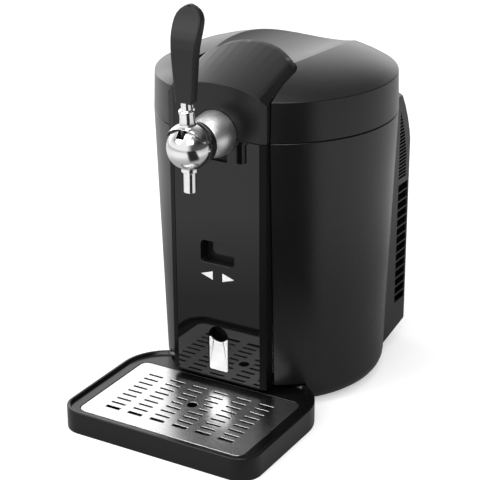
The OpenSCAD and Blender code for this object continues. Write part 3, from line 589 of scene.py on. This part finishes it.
class DISPENSER_OT_stage(bpy.types.Operator):
    """Sets up the floor, the lights and the camera"""

    bl_idname = "dispenser.stage"
    bl_label = "Studio"

    def execute(self, context):
        scene = context.scene
        settings = scene.dispenser_studio
        back = self.camera(scene, settings)
        self.floor(scene)
        self.world(scene, back, settings.fill)
        for row in LAMPS:
            self.lamp(scene, *row)
        scene.view_settings.view_transform = "Standard"
        return {"FINISHED"}

    def camera(self, scene, view):
        """Places the camera and returns the way from the object to it"""
        back = Vector((math.sin(view.azimuth) * math.cos(view.elevation),
                       -math.cos(view.azimuth) * math.cos(view.elevation), math.sin(view.elevation)))
        level = Vector((math.cos(view.azimuth), math.sin(view.azimuth), 0))
        upright = back.cross(level)
        right = math.cos(view.roll) * level + math.sin(view.roll) * upright
        up = -math.sin(view.roll) * level + math.cos(view.roll) * upright
        data = bpy.data.cameras.new("Camera")
        data.sensor_width = SENSOR
        data.lens = view.lens
        camera = bpy.data.objects.new("Camera", data)
        camera.matrix_world = Matrix((
            (right.x, up.x, back.x, view.place[0]), (right.y, up.y, back.y, view.place[1]),
            (right.z, up.z, back.z, view.place[2]), (0, 0, 0, 1)))
        scene.collection.objects.link(camera)
        scene.camera = camera
        return back

    def floor(self, scene):
        """A level floor round the object"""
        bm = bmesh.new()
        bmesh.ops.create_grid(bm, x_segments=1, y_segments=1, size=FLOOR_SIZE)
        mesh = bpy.data.meshes.new("floor")
        bm.to_mesh(mesh)
        bm.free()
        floor = bpy.data.objects.new("floor", mesh)
        scene.collection.objects.link(floor)
        mesh.materials.append(self.floor_material())

    def floor_material(self):
        """Pale for light and camera; shiny pieces see it dim near the object and on the right"""
        mat, tree, shader = new_material("pale_floor")
        space = object_space(tree)
        tree.links.new(tint(tree, noise(tree, space, scale=3.0), *FLOOR_SHADES), shader.inputs["Base Color"])
        shader.inputs["Roughness"].default_value = 0.9
        shader.inputs["Specular IOR Level"].default_value = 0.1
        glow = tree.nodes.new("ShaderNodeEmission")
        glow.inputs["Color"].default_value = (1, 1, 1, 1)
        path = tree.nodes.new("ShaderNodeLightPath")
        level = tree.nodes.new("ShaderNodeMath")
        level.operation = "MULTIPLY"
        level.inputs[1].default_value = FLOOR_GLOW
        tree.links.new(path.outputs["Is Camera Ray"], level.inputs[0])
        tree.links.new(level.outputs[0], glow.inputs["Strength"])
        dark = tree.nodes.new("ShaderNodeBsdfDiffuse")
        dark.inputs["Color"].default_value = FLOOR_DIM
        around = object_space(tree, (1, 1, 0))
        away = vector_math(tree, "LENGTH", around).outputs["Value"]
        card = arithmetic(tree, "MULTIPLY", facing(tree, around, *FLOOR_CARD),
                          spread(tree, away, *FLOOR_CARD_EDGE))
        lit = arithmetic(tree, "MULTIPLY", inverse(tree, card), spread(tree, away, *FLOOR_SHINE))
        dim = arithmetic(tree, "MULTIPLY", path.outputs["Is Glossy Ray"], inverse(tree, lit))
        both = tree.nodes.new("ShaderNodeAddShader")
        tree.links.new(mix_shaders(tree, dim, shader.outputs[0], dark.outputs[0]), both.inputs[0])
        tree.links.new(glow.outputs[0], both.inputs[1])
        out = next(n for n in tree.nodes if n.type == "OUTPUT_MATERIAL")
        tree.links.new(both.outputs[0], out.inputs[0])
        return mat

    def world(self, scene, back, fill):
        """White for the camera, plain for the light, and uneven with a dark card for what shines"""
        world = bpy.data.worlds.new("studio")
        world.use_nodes = True
        scene.world = world
        tree = world.node_tree
        tree.nodes.clear()
        out = tree.nodes.new("ShaderNodeOutputWorld")
        path = tree.nodes.new("ShaderNodeLightPath")
        coords = tree.nodes.new("ShaderNodeTexCoord")
        way = coords.outputs["Generated"]
        flat = vector_math(tree, "MULTIPLY", way, (1, 1, 0)).outputs["Vector"]
        split = tree.nodes.new("ShaderNodeSeparateXYZ")
        tree.links.new(way, split.inputs[0])
        high = split.outputs["Z"]
        nearing = vector_math(tree, "DOT_PRODUCT", way, back).outputs["Value"]
        ahead = vector_math(tree, "DOT_PRODUCT", way, AHEAD).outputs["Value"]
        card = arithmetic(tree, "MULTIPLY", facing(tree, flat, *WALL_CARD),
                          spread(tree, high, *WALL_CARD_EDGE))
        room = spread(tree, nearing, *ROOM)
        for light in (spread(tree, high, *HORIZON), spread(tree, ahead, *FRONT_LIGHT)):
            room = arithmetic(tree, "MAXIMUM", room, light)
        level = arithmetic(tree, "MULTIPLY", room, spread(tree, card, *CARD_LEVEL))
        plain, shiny, white = (tree.nodes.new("ShaderNodeBackground") for _ in range(3))
        for sky in (plain, shiny, white):
            sky.inputs["Color"].default_value = (1, 1, 1, 1)
        plain.inputs["Strength"].default_value = fill
        tree.links.new(level, shiny.inputs["Strength"])
        seen = mix_shaders(tree, path.outputs["Is Glossy Ray"], plain.outputs[0], shiny.outputs[0])
        seen = mix_shaders(tree, path.outputs["Is Camera Ray"], seen, white.outputs[0])
        tree.links.new(seen, out.inputs[0])

    def lamp(self, scene, name, place, size, power):
        """A rectangular lamp that is aimed at the object"""
        data = bpy.data.lights.new(name, "AREA")
        data.shape = "RECTANGLE"
        data.size, data.size_y = size
        data.energy = power
        lamp = bpy.data.objects.new(name, data)
        lamp.location = place
        aim = LAMP_AIM - Vector(place)
        lamp.rotation_mode = "QUATERNION"
        lamp.rotation_quaternion = aim.to_track_quat("-Z", "Y")
        scene.collection.objects.link(lamp)


class DISPENSER_OT_casing(bpy.types.Operator):
    """Shells, base, feet and rear housing"""

    bl_idname = "dispenser.casing"
    bl_label = "Casing"

    def execute(self, context):
        refine(context, (
            ("left_shell", "satin", "edge"),
            ("right_shell", "satin", "edge"),
            ("rear_housing", "rear", 0.3 * MM, 1),
            ("base_pan", "inner", 0.0),
            ("rubber_feet", "rubber", "edge"),
            ("hinge_bracket", "rear", "metal_edge"),
            ("hinge_pin", "pin", "metal_edge"),
            ("power_inlet", "inner", "metal_edge"),
        ))
        return {"FINISHED"}


class DISPENSER_OT_column(bpy.types.Operator):
    """Front column, gloss panel, display, keys and flap"""

    bl_idname = "dispenser.column"
    bl_label = "Front Column"

    def execute(self, context):
        refine(context, (
            ("column_frame", "strip", 0.5 * MM),
            ("panel_backing", "inner", "metal_edge"),
            ("front_panel", "panel", 0.35 * MM),
            ("display_bezel", "inner", "metal_edge"),
            ("display_window", "window", "metal_edge"),
            ("arrow_marks", "ink", 0.0),
            ("flap_pocket", "inner", "metal_edge"),
            ("front_flap", "plate", "metal_edge"),
            ("flap_pin", "pin", 0.0),
        ))
        return {"FINISHED"}


class DISPENSER_OT_lid(bpy.types.Operator):
    """Lid, hood and what is under them"""

    bl_idname = "dispenser.lid"
    bl_label = "Lid"

    def execute(self, context):
        refine(context, (("lid_shell", "satin", 0.5 * MM, 2, 35.0, 25.0),))
        crowned_hood()
        refine(context, (
            ("lid_liner", "liner", "metal_edge"),
            ("lid_foam", "foam", 1.5 * MM),
            ("lid_seal", "rubber", "metal_edge"),
        ))
        return {"FINISHED"}


class DISPENSER_OT_tap(bpy.types.Operator):
    """Tap, spout and lever"""

    bl_idname = "dispenser.tap"
    bl_label = "Tap"

    def execute(self, context):
        refine(context, (
            ("tap_flange", "flange", 0.5 * MM),
            ("tap_bracket", "pin", "metal_edge"),
            ("tap_shank", "steel", "metal_edge"),
            ("shank_nut", "brass", "metal_edge"),
            ("tap_body", "chrome", "metal_edge"),
            ("tap_ring", "hood", 0.4 * MM),
            ("spout_ring", "chrome", 0.5 * MM),
            ("spout_tube", "chrome", "metal_edge"),
            ("pivot_pin", "pin", "metal_edge"),
            ("saddle_cap", "chrome", 0.6 * MM),
        ))
        neck()
        refine(context, (("lever_stem", "pin", "metal_edge"),))
        handle()
        return {"FINISHED"}


class DISPENSER_OT_tray(bpy.types.Operator):
    """Drip tray and its grille"""

    bl_idname = "dispenser.tray"
    bl_label = "Drip Tray"

    def execute(self, context):
        refine(context, (
            ("drip_tray", "tray", 0.9 * MM, 3),
            ("drip_grille", "grille", 0.25 * MM, 2),
        ))
        return {"FINISHED"}


class DISPENSER_OT_inside(bpy.types.Operator):
    """Keg well, insulation and cooling unit"""

    bl_idname = "dispenser.inside"
    bl_label = "Inside"

    def execute(self, context):
        refine(context, (
            ("top_deck", "inner", "metal_edge"),
            ("keg_well", "aluminium", "metal_edge"),
            ("keg_mat", "rubber", "edge"),
            ("insulation", "foam", 0.0),
            ("cold_plate", "aluminium", 0.0),
            ("peltier_module", "ceramic", 0.0),
            ("heat_sink", "aluminium", 0.0),
            ("fan_frame", "inner", 0.0),
            ("fan_rotor", "inner", 0.0),
            ("power_board", "board", 0.0),
            ("control_board", "board", 0.0),
        ))
        return {"FINISHED"}


class DISPENSER_PT_panel(bpy.types.Panel):
    """Buttons for each group of pieces"""

    bl_label = "Mini Keg Dispenser"
    bl_idname = "DISPENSER_PT_panel"
    bl_space_type = "VIEW_3D"
    bl_region_type = "UI"
    bl_category = "Dispenser"

    def draw(self, context):
        layout = self.layout
        for group in ("dispenser_finishes", "dispenser_pieces", "dispenser_studio"):
            box = layout.box()
            settings = getattr(context.scene, group)
            for name in settings.__annotations__:
                box.prop(settings, name)
        for cls in STEPS:
            layout.operator(cls.bl_idname)


STEPS = (
    DISPENSER_OT_stage,
    DISPENSER_OT_casing,
    DISPENSER_OT_column,
    DISPENSER_OT_lid,
    DISPENSER_OT_tap,
    DISPENSER_OT_tray,
    DISPENSER_OT_inside,
)
GROUPS = (
    (DispenserFinishes, "dispenser_finishes"),
    (DispenserPieces, "dispenser_pieces"),
    (DispenserStudio, "dispenser_studio"),
)


def register():
    """Adds the settings, the operators and the panel"""
    for cls, name in GROUPS:
        bpy.utils.register_class(cls)
        setattr(bpy.types.Scene, name, bpy.props.PointerProperty(type=cls))
    for cls in (*STEPS, DISPENSER_PT_panel):
        bpy.utils.register_class(cls)


def unregister():
    """Takes them away again"""
    for cls in reversed((*STEPS, DISPENSER_PT_panel)):
        bpy.utils.unregister_class(cls)
    for cls, name in reversed(GROUPS):
        delattr(bpy.types.Scene, name)
        bpy.utils.unregister_class(cls)


def main():
    """Builds every group of pieces"""
    register()
    FINISHES.update(make_finishes(bpy.context.scene.dispenser_finishes))
    bpy.ops.dispenser.stage()
    bpy.ops.dispenser.casing()
    bpy.ops.dispenser.column()
    bpy.ops.dispenser.lid()
    bpy.ops.dispenser.tap()
    bpy.ops.dispenser.tray()
    bpy.ops.dispenser.inside()


if __name__ == "__main__":
    main()
